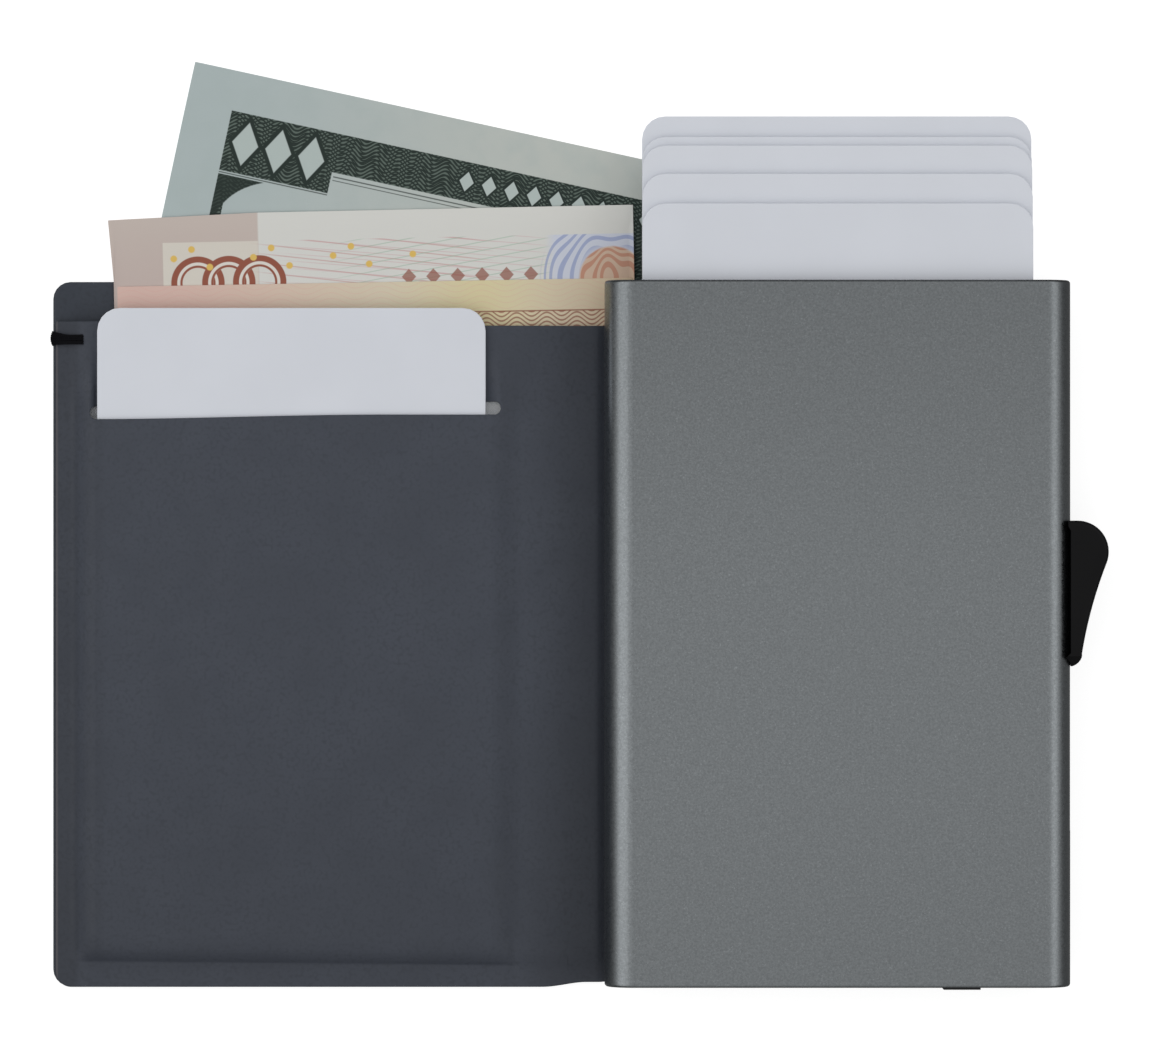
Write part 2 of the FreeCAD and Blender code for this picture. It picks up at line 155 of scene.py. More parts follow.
def close_sheet(bm, bottom, radius, cut_x=None):
    """Gives the sheet in bm a lower face at bottom(x, y) and a rounded edge. The edge at cut_x stays flat and
    sharp, so that two pieces that meet there shade as one."""
    bmesh.ops.remove_doubles(bm, verts=bm.verts, dist=SAME)
    bmesh.ops.dissolve_degenerate(bm, dist=SAME, edges=bm.edges)
    bm.normal_update()
    upper_faces = list(bm.faces)
    for face in upper_faces:
        if face.normal.z < 0:
            face.normal_flip()
    border = [e for e in bm.edges if e.is_boundary]
    outward = {v: Vector((0, 0, 0)) for e in border for v in e.verts}
    for e in border:
        a, b = e.verts
        if at_cut(a, cut_x) and at_cut(b, cut_x):
            continue
        along = (b.co - a.co).normalized()
        side = along.cross(Vector((0, 0, 1))).normalized()
        middle = (a.co + b.co) / 2
        if side.dot(middle - e.link_faces[0].calc_center_median()) < 0:
            side.negate()
        outward[a] += side
        outward[b] += side
    for v, side in outward.items():
        if at_cut(v, cut_x):
            side.x = 0
    twins = {}
    for v in list(bm.verts):
        twins[v] = bm.verts.new((v.co.x, v.co.y, bottom(v.co.x, v.co.y)))
    rings = {}
    for v, side in outward.items():
        thickness = v.co.z - twins[v].co.z
        side = side.normalized() if side.length > 1e-6 else side
        r = min(radius, 0.49 * thickness)
        ring = [v]
        for out, down in round_rim(r, thickness):
            ring.append(bm.verts.new(v.co + side * out - Vector((0, 0, down))))
        rings[v] = ring + [twins[v]]
    for face in upper_faces:
        bm.faces.new([twins[v] for v in reversed(face.verts)])
    for e in border:
        a, b = e.verts
        order = list(e.link_faces[0].verts)
        if order[(order.index(a) + 1) % len(order)] is not b:
            a, b = b, a
        for k in range(len(rings[a]) - 1):
            bm.faces.new((rings[b][k], rings[a][k], rings[a][k + 1], rings[b][k + 1]))
    for e in bm.edges:
        on_cut = [f for f in e.link_faces if all(at_cut(v, cut_x) for v in f.verts)]
        if len(on_cut) == 1:
            e.smooth = False


def piece(name, bm, look):
    """Object from a bmesh in millimetres, with the place at rest of every vertex kept for its material."""
    bmesh.ops.recalc_face_normals(bm, faces=bm.faces)
    mesh = bpy.data.meshes.new(name)
    bm.to_mesh(mesh)
    bm.free()
    for v in mesh.vertices:
        v.co = v.co * MM
    rest = mesh.attributes.new(REST, "FLOAT_VECTOR", "POINT")
    for v in mesh.vertices:
        rest.data[v.index].vector = v.co
    for face in mesh.polygons:
        face.use_smooth = True
    made = bpy.data.objects.new(name, mesh)
    bpy.context.scene.collection.objects.link(made)
    mesh.materials.append(look)
    return made


def blend_left(made):
    """Bakes a piece's transform into its mesh. It does not bend the piece over the crease between the free leaf
    and the spine.
    """
    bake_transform(made)


def blend_right(made):
    """Bakes a piece's transform into its mesh. It does not bend the piece over the crease between the spine and
    the case.
    """
    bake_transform(made)


# ---- materials ----


class Field:
    """A number that varies over a surface, held by a socket, so that patterns read as formulas."""

    def __init__(self, tree, socket):
        self.tree, self.socket = tree, socket

    def math(self, operation, *others):
        node = self.tree.nodes.new("ShaderNodeMath")
        node.operation = operation
        for socket, value in zip(node.inputs, (self, *others)):
            if isinstance(value, Field):
                self.tree.links.new(value.socket, socket)
            else:
                socket.default_value = value
        return Field(self.tree, node.outputs[0])

    def __add__(self, other):
        return self.math("ADD", other)

    def __sub__(self, other):
        return self.math("SUBTRACT", other)

    def __mul__(self, other):
        return self.math("MULTIPLY", other)

    def __neg__(self):
        return self * -1.0

    def sin(self):
        return self.math("SINE")

    def abs(self):
        return self.math("ABSOLUTE")

    def most(self, other):
        return self.math("MAXIMUM", other)

    def above(self, level, softness=0.06):
        """1 where the field is above level and 0 below, over a soft step."""
        node = self.tree.nodes.new("ShaderNodeMapRange")
        node.interpolation_type = "SMOOTHSTEP"
        self.tree.links.new(self.socket, node.inputs["Value"])
        node.inputs["From Min"].default_value = level - softness
        node.inputs["From Max"].default_value = level + softness
        return Field(self.tree, node.outputs["Result"])

    def below(self, level, softness=0.06):
        return -self.above(level, softness) + 1.0

    def lines(self, spacing, width):
        """1 on lines that stand spacing apart, each about width wide."""
        wave = (self * (2 * math.pi / spacing)).sin()
        return wave.above(math.cos(math.pi * width / spacing), 0.12)


class Look:
    """A Principled material whose colour is built up in layers over places in millimetres."""

    def __init__(self, name, colour, roughness, own=True, **uniform):
        self.material = bpy.data.materials.new(name)
        self.material.use_nodes = True
        self.tree = self.material.node_tree
        self.shader = self.tree.nodes["Principled BSDF"]
        self.shader.inputs["Roughness"].default_value = roughness
        for socket, value in uniform.items():
            self.shader.inputs[socket.replace("_", " ")].default_value = value
        self.colour = colour
        self.bumps = None
        self.place = self.place_at_rest(own)

    def node(self, kind, **settings):
        made = self.tree.nodes.new("ShaderNode" + kind)
        for key, value in settings.items():
            setattr(made, key, value)
        return made

    def link(self, a, b):
        self.tree.links.new(a, b)

    def place_at_rest(self, own):
        """Own pieces read their stored place, and CAD nodes, which move whole, their object's."""
        if own:
            source = self.node("Attribute", attribute_name=REST).outputs["Vector"]
        else:
            source = self.node("TexCoord").outputs["Object"]
        scaled = self.node("VectorMath", operation="SCALE")
        self.link(source, scaled.inputs[0])
        scaled.inputs["Scale"].default_value = 1 / MM
        return scaled.outputs[0]

    def local(self, corner, turn_deg=0.0):
        """Fields u and v: distances along and across a sheet from its corner, turned with it."""
        moved = self.node("VectorMath", operation="SUBTRACT")
        self.link(self.place, moved.inputs[0])
        moved.inputs[1].default_value = (*corner, 0)
        turned = self.node("VectorRotate", rotation_type="Z_AXIS")
        self.link(moved.outputs[0], turned.inputs["Vector"])
        turned.inputs["Angle"].default_value = -math.radians(turn_deg)
        parts = self.node("SeparateXYZ")
        self.link(turned.outputs[0], parts.inputs[0])
        return Field(self.tree, parts.outputs[0]), Field(self.tree, parts.outputs[1])

    def noise(self, size, detail=2.0, roughness=0.5, stretch=(1, 1, 1)):
        """Field from about 0 to 1 with features of that size."""
        node = self.node("TexNoise")
        source = self.place
        if stretch != (1, 1, 1):
            scaled = self.node("VectorMath", operation="MULTIPLY")
            self.link(source, scaled.inputs[0])
            scaled.inputs[1].default_value = stretch
            source = scaled.outputs[0]
        self.link(source, node.inputs["Vector"])
        node.inputs["Scale"].default_value = 1 / size
        node.inputs["Detail"].default_value = detail
        node.inputs["Roughness"].default_value = roughness
        return Field(self.tree, node.outputs[0])

    def cells(self, size):
        """Field of rounded pebbles of that size, 0 at each middle."""
        node = self.node("TexVoronoi", feature="SMOOTH_F1")
        self.link(self.place, node.inputs["Vector"])
        node.inputs["Scale"].default_value = 1 / size
        return Field(self.tree, node.outputs["Distance"])

    def paint(self, colour, share, blend="MIX"):
        """Lays colour over what is there, by a field or a number from 0 to 1."""
        node = self.node("Mix", data_type="RGBA", blend_type=blend)
        for socket, value in ((node.inputs[6], self.colour), (node.inputs[7], colour)):
            if isinstance(value, tuple):
                socket.default_value = (*value, 1)
            else:
                self.link(value, socket)
        if isinstance(share, Field):
            self.link(share.socket, node.inputs[0])
        else:
            node.inputs[0].default_value = share
        self.colour = node.outputs[2]

    def shade(self, amount, field):
        """Darkens the colour by that share where the field is 1."""
        self.paint((1 - amount,) * 3, field, "MULTIPLY")

    def mottle(self, size, amount):
        """Darkens the first colour gently, in patches of that size. It comes before the other layers."""
        darker = tuple(c * (1 - amount) for c in self.colour)
        self.paint(darker, self.noise(size, 3.0, 0.55).above(0.5, 0.22))

    def relief(self, field, depth, strength):
        """Adds a relief: field times depth, in millimetres."""
        bump = self.node("Bump")
        bump.inputs["Strength"].default_value = strength
        bump.inputs["Distance"].default_value = depth * MM
        self.link(field.socket, bump.inputs["Height"])
        if self.bumps is not None:
            self.link(self.bumps, bump.inputs["Normal"])
        self.bumps = bump.outputs["Normal"]

    def vary_roughness(self, size, low, high):
        node = self.node("MapRange")
        self.link(self.noise(size, 3.0).socket, node.inputs["Value"])
        node.inputs["From Min"].default_value = 0.3
        node.inputs["From Max"].default_value = 0.7
        node.inputs["To Min"].default_value = low
        node.inputs["To Max"].default_value = high
        self.link(node.outputs["Result"], self.shader.inputs["Roughness"])

    def done(self):
        """Joins the layers to the shader and returns the material."""
        if isinstance(self.colour, tuple):
            self.shader.inputs["Base Color"].default_value = (*self.colour, 1)
        else:
            self.link(self.colour, self.shader.inputs["Base Color"])
        if self.bumps is not None:
            self.link(self.bumps, self.shader.inputs["Normal"])
        return self.material


def leather(name, colour, painted_shade_from=None):
    """Fine-grained coated leather: small pebbles, faint cloudiness and a soft, uneven gloss. Given the panel's
    lower left corner, it is darker at its left margin and above the slot, with painted shade on the slope up
    to the card's left side, towards its lower edge and over the spine, darkest in the crease beside the case,
    and
    a painted highlight: a paler line along its cut edge."""
    look = Look(name, colour, 0.55, Specular_IOR_Level=0.35)
    look.mottle(9.0, 0.10)
    look.paint(tuple(c * 0.82 for c in colour), look.cells(0.42).above(0.55, 0.2))
    if painted_shade_from:
        from_left, from_low = look.local(painted_shade_from)
        # Painted shade on the slope, towards the lower edge, over the spine and in the crease beside the case;
        # the margin and the strip above the slot are only darker.
        margin = from_left.below(3.1, 0.5)
        slope = (from_left - 5.4).abs().below(1.3, 0.7) * from_low.above(3.5, 1.5)
        over_spine = from_left.above(69.5, 5.5)
        low_spine = from_low.below(28.0, 22.0) * from_left.above(65.0, 7.0)
        beside_case = from_left.above(76.2, 0.4)
        for amount, where in (
            (0.20, margin), (0.09, slope), (0.12, from_low.below(30.0, 27.0)), (0.22, over_spine),
            (0.10, low_spine), (0.40, beside_case), (0.06, from_low.above(80.0, 3.0)),
        ):
            look.shade(amount, where)
        # Painted highlight: a paler line along the cut edge.
        cut_edge_highlight = (from_left - 0.12).abs().below(0.15, 0.1)
        look.paint((0.085, 0.080, 0.088), cut_edge_highlight * 0.8)
    look.relief(look.cells(0.42), 0.03, 0.35)
    look.relief(look.noise(1.6, 3.0), 0.05, 0.25)
    look.vary_roughness(4.0, 0.5, 0.62)
    return look.done()


def plastic(name, colour, roughness, gloss=0.5):
    """Moulded plastic with a fine spark-eroded texture."""
    look = Look(name, colour, roughness, own=False, Specular_IOR_Level=gloss)
    look.mottle(3.0, 0.12)
    look.relief(look.noise(0.16, 2.0), 0.012, 0.5)
    look.vary_roughness(2.0, roughness - 0.06, roughness + 0.06)
    return look.done()


def aluminium(name, colour, roughness):
    """Bead-blasted and anodised aluminium: a fine even sparkle with no direction. Painted shade makes it darker
    towards the two ends, most of all at the mouth, and paints a dark line along the mouth's edge."""
    look = Look(name, colour, roughness, own=False, Metallic=1.0)
    look.paint(tuple(c * 0.80 for c in colour), look.noise(0.30, 3.0, 0.7).above(0.5, 0.16))
    look.paint(tuple(min(1, c * 1.25) for c in colour), look.noise(0.22, 2.0, 0.6).above(0.66, 0.07))
    along = look.local((0, 0))[1]
    # Painted shade: darker towards both ends, most towards the mouth, and a painted dark line along the mouth's
    # edge.
    look.shade(0.14, along.above(14.0, 26.0))
    look.shade(0.07, along.below(-50.0, 20.0))
    look.shade(0.55, along.above(CASE_HIGH.y - 0.3, 0.1))
    look.relief(look.noise(0.13, 2.0, 0.6), 0.006, 0.35)
    look.vary_roughness(0.5, roughness - 0.05, roughness + 0.05)
    return look.done()


def felt(name, colour):
    """Short fibres with a soft sheen."""
    look = Look(name, colour, 0.95, own=False, Sheen_Weight=0.4)
    look.mottle(0.8, 0.5)
    look.relief(look.noise(0.18, 5.0, 0.75), 0.12, 0.9)
    return look.done()


# Spacing of the cloth's waves and of the thread's plies.
WEAVE = 0.36
PLY = 0.22


def cloth(name, colour):
    """Thin plain-woven lining."""
    look = Look(name, colour, 0.9)
    u, v = look.local((0, 0))
    turns = 2 * math.pi / WEAVE
    weave = (u * turns).sin() * (v * turns).sin()
    look.paint(tuple(c * 0.6 for c in colour), weave.above(0.1, 0.5))
    look.relief(weave, 0.05, 0.7)
    return look.done()


def thread(name, colour):
    """Twisted thread: slanting plies round each strand."""
    look = Look(name, colour, 0.7, Specular_IOR_Level=0.08)
    u, v = look.local((0, 0), 35)
    ply = (u * (2 * math.pi / PLY)).sin()
    look.paint(tuple(c * 1.6 for c in colour), ply.above(0.3, 0.6))
    look.relief(ply, 0.03, 0.8)
    return look.done()


def steel(name, colour):
    """Ground steel, with fine marks along the pin."""
    look = Look(name, colour, 0.3, own=False, Metallic=1.0)
    look.paint(tuple(c * 0.8 for c in colour), look.noise(0.5, 2.0, 0.5, (1, 1, 0.05)))
    look.relief(look.noise(0.1, 2.0, 0.5, (1, 1, 0.05)), 0.01, 0.4)
    return look.done()


def tape(name, colour):
    """Foam tape."""
    look = Look(name, colour, 0.8, own=False)
    look.mottle(0.7, 0.25)
    look.relief(look.noise(0.3, 3.0), 0.03, 0.6)
    return look.done()


def card_plastic(name, colour):
    """Plain laminated card: satin, with the faintest orange peel."""
    look = Look(name, colour, 0.42, Specular_IOR_Level=0.45)
    look.mottle(14.0, 0.03)
    look.relief(look.noise(0.5, 2.0), 0.004, 0.5)
    look.vary_roughness(6.0, 0.38, 0.46)
    return look.done()


# ---- leather cover and inner panel ----

# Edge radii, the cover's corners, how far inside the cover's edge the panel lies, and the panel's thickness.
COVER_EDGE = 0.32
PANEL_EDGE = 0.18
CORNER = 2.4
PANEL_INSET = 0.45
PANEL_T = 0.4
# Heights of the panel's upper face at its margins, on its plain field and over the card.
MARGIN_Z = COVER_TOP + 0.98
FIELD_Z = LINING_HIGH.z - 0.03
POCKET_Z = SLOT_CARD_HIGH.z + 0.06 + PANEL_T
PULL_UP = 0.65
SAG = 0.4
CREVICE = 0.3
COVER_ROWS = 28


def lower_edge(x):
    """The lower edge is drawn up a little where the spine passes under the case."""
    reach = ease((x - CREASE_LEFT - 1.1) / 6.0) * (1 - ease((x - CREASE_RIGHT - 1.5) / 8.0))
    return LOWER + PULL_UP * reach


def rounded_ends(x, side_x, radius, low, high, both=True):
    """Ends of a column near a side with rounded corners."""
    inside = abs(x - side_x)
    if inside >= radius:
        return low, high
    back = radius - math.sqrt(max(0.0, radius**2 - (radius - inside) ** 2))
    return low + back, high - back if both else high


def arc_stations(side_x, radius, inward):
    """Columns over a rounded corner, closer together towards its side."""
    return [side_x + inward * radius * (1 - math.cos(math.radians(a))) for a in (0, 18, 36, 54, 72, 90)]


def even_rows(low, high, count, edge):
    """Rows from low to high with one close to each edge, so that the flat stays flat in shading."""
    inner = [low + edge + (high - low - 2 * edge) * k / count for k in range(count + 1)]
    return [low, *inner, high]


def outer_cover(look):
    """The cover in two pieces that meet in the middle of the spine, one for each crease."""
    e = COVER_EDGE
    left, right = LEAF_LOW.x + e, BACK_HIGH.x - e
    high = LEAF_HIGH.y - e
    radius = CORNER - e

    def rows(side):
        def at(x):
            ends = rounded_ends(x, side, radius, lower_edge(x) + e, high)
            return even_rows(*ends, COVER_ROWS, 0.2)

        return at

    left_columns = arc_stations(left, radius, 1)
    left_columns += stations(
        (left + radius + 0.6, 4.5), (CREASE_LEFT - BEND_OUT, 0.42), (MIDDLE, 1)
    )
    right_columns = stations((MIDDLE, 0.42), (CREASE_RIGHT + BEND_OUT, 4.5), (right - radius - 0.6, 1))
    right_columns += reversed(arc_stations(right, radius, -1))
    for name, columns, side, bend, nodes in (
        ("cover_leather_leaf", left_columns, left, blend_left, ("cover_leaf", "cover_spine")),
        ("cover_leather_back", right_columns, right, blend_right, ("cover_back", "cover_spine")),
    ):
        bm = bmesh.new()
        add_grid(bm, columns, rows(side), lambda x, y: COVER_TOP)
        close_sheet(bm, lambda x, y: 0.0, e, MIDDLE)
        made = piece(name, bm, look)
        width = abs(MIDDLE - (LEAF_LOW.x if side == left else BACK_HIGH.x))
        MM * width
        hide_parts(*nodes)
        bend(made)


# The slot: how far it reaches past the card on either side, half its opening, its rise to the right and the
# length that takes, and its lower lip, which the pocket's backing stands above.
CARD_LEFT, CARD_RIGHT = SLOT_CARD_LOW.x, SLOT_CARD_HIGH.x
PAST_LEFT = 1.18
PAST_RIGHT = 2.3
SLOT_LEFT, SLOT_RIGHT = CARD_LEFT - PAST_LEFT, CARD_RIGHT + PAST_RIGHT
SLOT_R = 1.08
SLOT_RISE = 0.64
RISE_OVER = 41.0
SLOT_LIP = BACKING_HIGH.y - 3.5
# The panel's left edge, the drop of its upper edge, and the lower seam: its height over the leaf's lower edge at
# the left, how much nearer it comes over its length, and where it starts.
PANEL_LEFT = LEAF_LOW.x + PANEL_INSET
TOP_DROP = 0.65
SEAM_UP = 3.55
SEAM_NEARER = 0.55
SEAM_LENGTH = 62
SEAM_IN = 2.9


def slot_y(x):
    """Middle of the slot, which runs up a little from its left end and then level."""
    return SLOT_LIP + SLOT_R - SLOT_RISE * (1 - ease((x - SLOT_LEFT) / RISE_OVER))


def slot_gap(x):
    """Half the slot's opening at x: nothing beyond its round ends."""
    inside = min(x - SLOT_LEFT, SLOT_RIGHT - x)
    if inside <= 0:
        return 0.0
    return SLOT_R if inside >= SLOT_R else math.sqrt(SLOT_R**2 - (SLOT_R - inside) ** 2)


def panel_top(x):
    """The panel's upper edge, which drops a little to the right."""
    return PANEL_EDGE_Y - TOP_DROP * ease((x - PANEL_LEFT) / 70)


def seam_y(x):
    """The seam along the leaf's lower edge, which comes nearer to the edge to the right."""
    return LOWER + SEAM_UP - SEAM_NEARER * clamp((x - PANEL_LEFT) / SEAM_LENGTH)


def over_card(x):
    """1 over the slot card and 0 away from its sides."""
    left = ease((x - (CARD_LEFT - 3.6)) / 3.5)
    right = ease((CARD_RIGHT + 5.0 - x) / 4.4)
    return left * right


def spine_sag(x):
    """The panel slopes down over the spine to a crevice beside the case, and rises again under it."""
    slope = ease((x - MIDDLE + 6.5) / (CASE_LOW.x - MIDDLE + 6.2))
    crevice = ease((x - CASE_LOW.x + 1.1) / 1.2)
    return (SAG * slope + CREVICE * crevice) * (1 - ease((x - CASE_LOW.x - 0.4) / 3.0))


def panel_height(x, y, below_slot):
    """Height of the inner panel of the free leaf."""
    from_left, from_low = x - PANEL_LEFT, y - seam_y(x)
    z = MARGIN_Z + (FIELD_Z - MARGIN_Z) * ease((from_left - 1.8) / 2.6) * ease((from_low + 1.0) / 3.0)
    # The seam's groove, deeper to the right, and a short pressed mark across its right end.
    deep = 0.07 + 0.04 * clamp((from_left - 25) / 30)
    ends = ease((from_left - SEAM_IN + 0.4) / 0.6) * ease((CREASE_LEFT - 1.4 - x) / 2)
    z -= deep * hump(from_low, 0.42) * ends
    z -= 0.18 * hump(x - CREASE_LEFT + 3.0, 0.7) * hump(from_low - 1.5, 5.0)
    rise = over_card(x)
    if below_slot:
        rise *= swell((from_low - 0.1) / 3.8)
    else:
        rise *= 1 - ease((y - slot_y(x)) / 9.0)
        if SLOT_LEFT < x < SLOT_RIGHT:
            beyond, past = max((CARD_LEFT - x, PAST_LEFT), (x - CARD_RIGHT, PAST_RIGHT))
            rise *= ease((beyond - 0.12) / (past - 0.12))
    return z + (POCKET_Z - FIELD_Z) * rise - spine_sag(x)


def leaf_panel(look):
    """Inner panel of the free leaf and half the spine, with the slot, the raised pocket and pressed seams."""
    e = PANEL_EDGE
    left = PANEL_LEFT + e
    radius = CORNER - PANEL_INSET
    columns = stations(
        (left, 0.17), (left + 1.0, 0.22), (SLOT_LEFT, 0.1), (CARD_LEFT + 0.3, 4.0), (CARD_RIGHT - 0.3, 0.1),
        (SLOT_RIGHT + 0.1, 0.35), (CREASE_LEFT - BEND_OUT, 0.4), (MIDDLE, 1),
    )
    rows_below = stations(
        (0, 0.2), (0.4, 0.5), (2.2, 0.22), (6.2, 0.45), (8.0, 3.6), (70, 1.6), (78.3, 0.4), (79.1, 1)
    )
    rows_above = (0, 0.03, 0.08, 0.18, 0.32, 0.5, 0.7, 0.88, 0.97, 1)

    def below(x):
        start = rounded_ends(x, left, radius, lower_edge(x) + e, 0)[0]
        end = slot_y(x) - slot_gap(x)
        return [start + (end - start) * row / rows_below[-1] for row in rows_below]

    def above(x):
        start, end = slot_y(x) + slot_gap(x), panel_top(x) - e
        return [start + (end - start) * share for share in rows_above]

    bm = bmesh.new()
    add_grid(bm, columns, below, lambda x, y: panel_height(x, y, True))
    add_grid(bm, columns, above, lambda x, y: panel_height(x, y, False))

    def underside(x, y):
        below_slot = y < slot_y(x) + SAME
        skin = panel_height(x, y, below_slot) - PANEL_T
        pressed = max(1 - ease((x - left - 1.8) / 1.2), 1 - ease((y - seam_y(x) + 1.6) / 1.2))
        return skin + (COVER_TOP + 0.01 - skin) * pressed

    close_sheet(bm, underside, e, MIDDLE)
    made = piece("panel_leather_leaf", bm, look)
    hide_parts("pocket_panel", "lining_spine")
    blend_left(made)


def back_panel(look):
    """The same panel's other half: over the spine and under the case, seamed along its lower and right edges."""
    e = PANEL_EDGE
    right = LINING_HIGH.x - PANEL_INSET - e
    radius = CORNER - PANEL_INSET
    high = panel_top(MIDDLE) - e
    columns = stations(
        (MIDDLE, 0.4), (CREASE_RIGHT + BEND_OUT, 3.5), (right - 6, 0.6), (right - radius, 0.2), (right, 1)
    )
    marks = stations((0, 0.2), (0.4, 0.5), (6, 4), (86, 0.8), (88, 1))

    def rows(x):
        low, top = rounded_ends(x, right, radius, lower_edge(x) + e, high, both=False)
        return [low + (top - low) * mark / marks[-1] for mark in marks]

    def height(x, y):
        inward = ease((right - x - 1.8) / 2.6) * ease((y - LOWER - 1.8) / 2.6)
        return MARGIN_Z + (FIELD_Z - MARGIN_Z) * inward - spine_sag(x)

    def underside(x, y):
        skin = height(x, y) - PANEL_T
        pressed = max(1 - ease((right - x - 1.6) / 1.2), 1 - ease((y - LOWER - 1.6) / 1.2))
        return skin + (COVER_TOP + 0.01 - skin) * pressed

    bm = bmesh.new()
    add_grid(bm, columns, rows, height)
    close_sheet(bm, underside, e, MIDDLE)
    made = piece("panel_leather_back", bm, look)
    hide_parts("lining_back", "lining_spine")
    blend_right(made)


def pocket_backing(look):
    """Thin cloth behind the slot card, from just above the seam. It shows pale in the slot's punched ends, the
    right one of which it has to reach."""
    right = BACKING_HIGH.x + 0.9
    low = BACKING_LOW.y + 3.0
    columns = stations((BACKING_LOW.x, 1), (BACKING_LOW.x + 1, 6), (right - 1, 1), (right, 1))
    bm = bmesh.new()
    add_grid(bm, columns, lambda x: even_rows(low, BACKING_HIGH.y, 14, 0.3), lambda x, y: BACKING_HIGH.z)
    close_sheet(bm, lambda x, y: BACKING_LOW.z, 0.03)
    made = piece("pocket_cloth", bm, look)
    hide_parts("card_pocket_backing")
    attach(made, "leaf")


# ---- thread ----

STRAND_R = 0.13
STRANDS = 8
TUBE_SIDES = 8
CURVE_STEPS = 6


def strand_path(y, k):
    """One turn of thread: over the panel, round the leaf's edge, under the cover and up through both."""
    sway = 0.05 * math.sin(2.4 * k + 0.7)
    right = TACK_HIGH.x - 0.02 - 0.12 * (k % 2)
    top, low = MARGIN_Z + 0.18, TACK_LOW.z + STRAND_R
    left = LEAF_LOW.x + 0.12
    off_middle = 2 * k / (STRANDS - 1) - 1
    lean = 0.15 * off_middle
    past = 0.38 - 0.24 * off_middle**2
    return [
        (right, y, COVER_TOP - 0.3),
        (right, y, top + 0.25),
        (right - 0.3, y + sway, top + 0.52),
        ((left + right) / 2, y + sway, top + 0.28),
        (left + 0.5, y + lean + 0.12, top + 0.2),
        (left - 0.4 * past, y + 1.6 * lean + 0.16, top - 0.1),
        (left - past, y + 2 * lean + 0.16, (top + low) / 2),
        (left - 0.4 * past, y + lean, low + 0.12),
        (left + 0.4, y, low),
        (right - 0.3, y, low),
        (right, y, low + 0.3),
    ]


def tube(bm, path, radius):
    """Round tube along a path, closed at its ends."""
    rings = []
    for k, point in enumerate(path):
        along = (path[min(k + 1, len(path) - 1)] - path[max(k - 1, 0)]).normalized()
        side = along.cross(Vector((0, 1, 0))).normalized()
        other = along.cross(side)
        turns = [2 * math.pi * n / TUBE_SIDES for n in range(TUBE_SIDES)]
        rings.append([bm.verts.new(point + radius * (side * math.cos(a) + other * math.sin(a))) for a in turns])
    for a, b in zip(rings, rings[1:]):
        for n in range(TUBE_SIDES):
            after = (n + 1) % TUBE_SIDES
            bm.faces.new((a[n], a[after], b[after], b[n]))
    bm.faces.new(reversed(rings[0]))
    bm.faces.new(rings[-1])


def curve_through(points):
    """Smooth line through points, by Catmull-Rom spans."""
    line = [Vector(p) for p in points]
    line = [line[0] * 2 - line[1], *line, line[-1] * 2 - line[-2]]
    found = []
    for a, b, c, d in zip(line, line[1:], line[2:], line[3:]):
        for k in range(CURVE_STEPS):
            t = k / CURVE_STEPS
            found.append(
                0.5 * (2 * b + (c - a) * t + (2 * a - 5 * b + 4 * c - d) * t**2 + (3 * b - a - 3 * c + d) * t**3)
            )
    return found + [line[-2]]


def bar_tack(look):
    """The black tack at the mouth of the note compartment: turns of thread side by side."""
    bm = bmesh.new()
    for k in range(STRANDS):
        y = TACK_LOW.y + (TACK_HIGH.y - TACK_LOW.y) * (k + 0.3) / (STRANDS - 0.4)
        tube(bm, curve_through(strand_path(y, k)), STRAND_R)
    made = piece("bar_tack_thread", bm, look)
    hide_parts("corner_bar_tack")
    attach(made, "leaf")


# ---- cards ----

CARD_CORNER = 3.18
CARD_EDGE = 0.11


def blank_card(node, name, body, look):
    """A plain card with rounded corners and softened edges, in the place of its CAD node."""
    low, high = box(node)
    e, radius = CARD_EDGE, CARD_CORNER - CARD_EDGE
    left, right = low.x + e, high.x - e
    middle = (left + right) / 2

    def rows(x):
        side = left if x < middle else right
        return even_rows(*rounded_ends(x, side, radius, low.y + e, high.y - e), 10, 0.15)

    columns = arc_stations(left, radius, 1) + stations((left + radius + 1, 8), (right - radius - 1, 1))
    columns += reversed(arc_stations(right, radius, -1))
    bm = bmesh.new()
    add_grid(bm, columns, rows, lambda x, y: high.z)
    close_sheet(bm, lambda x, y: low.z, e)
    made = piece(name, bm, look)
    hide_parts(node)
    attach(made, body)


# ---- banknotes ----

# A note's thickness, the space between two, and how far along the dip and the lean of a worn corner reach.
NOTE_T = 0.12
NOTE_GAP = 0.03
DIP_OVER = 21.0
LEAN_OVER = 9.0
NOTE_ROWS = 26


